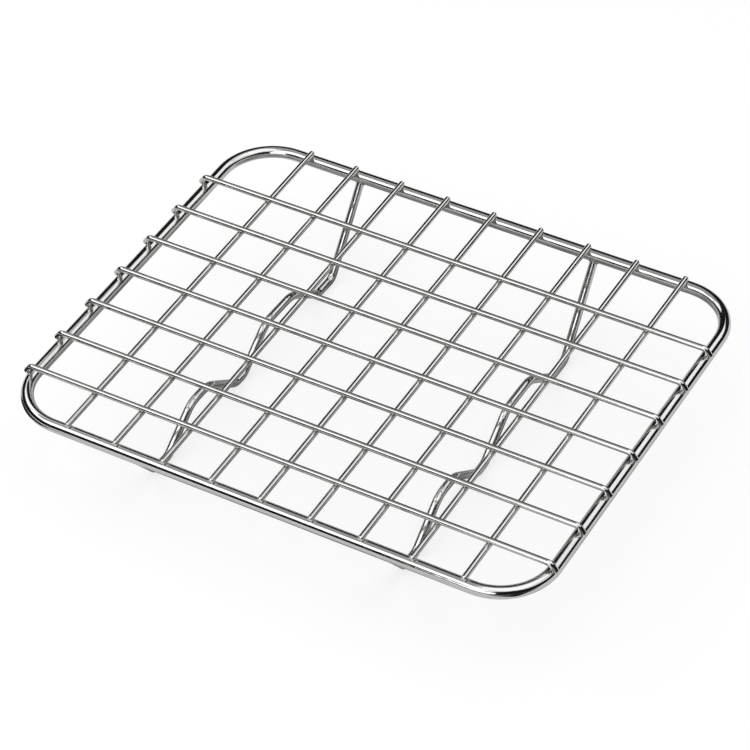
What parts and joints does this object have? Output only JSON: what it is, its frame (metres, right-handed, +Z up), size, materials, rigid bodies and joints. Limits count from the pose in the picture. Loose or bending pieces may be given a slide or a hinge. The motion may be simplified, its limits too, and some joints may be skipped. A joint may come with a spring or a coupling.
{
  "type": "grill rack",
  "caption": "Welded wire grill rack: a square wire grid on a round-cornered rod frame, standing on two zigzag foot wires.",
  "frame": {"origin": "on the surface the rack stands on, under the middle of its frame", "axes": "+X along the length of the frame, +Y to the back, +Z up"},
  "size_m": [0.272, 0.219, 0.051],
  "materials": {
    "frame_rod": "polished",
    "grid_wire": "polished",
    "foot_wire": "polished"
  },
  "bodies": {
    "root": {"frame_rod": "frame_rod", "cross_wire_1": "grid_wire", "cross_wire_2": "grid_wire", "cross_wire_3": "grid_wire", "cross_wire_4": "grid_wire", "cross_wire_5": "grid_wire", "cross_wire_6": "grid_wire", "cross_wire_7": "grid_wire", "cross_wire_8": "grid_wire", "cross_wire_9": "grid_wire", "long_wire_1": "grid_wire", "long_wire_2": "grid_wire", "long_wire_3": "grid_wire", "long_wire_4": "grid_wire", "long_wire_5": "grid_wire", "long_wire_6": "grid_wire", "long_wire_7": "grid_wire", "foot_wire_left": "foot_wire", "foot_wire_right": "foot_wire"}
  },
  "joints": []
}
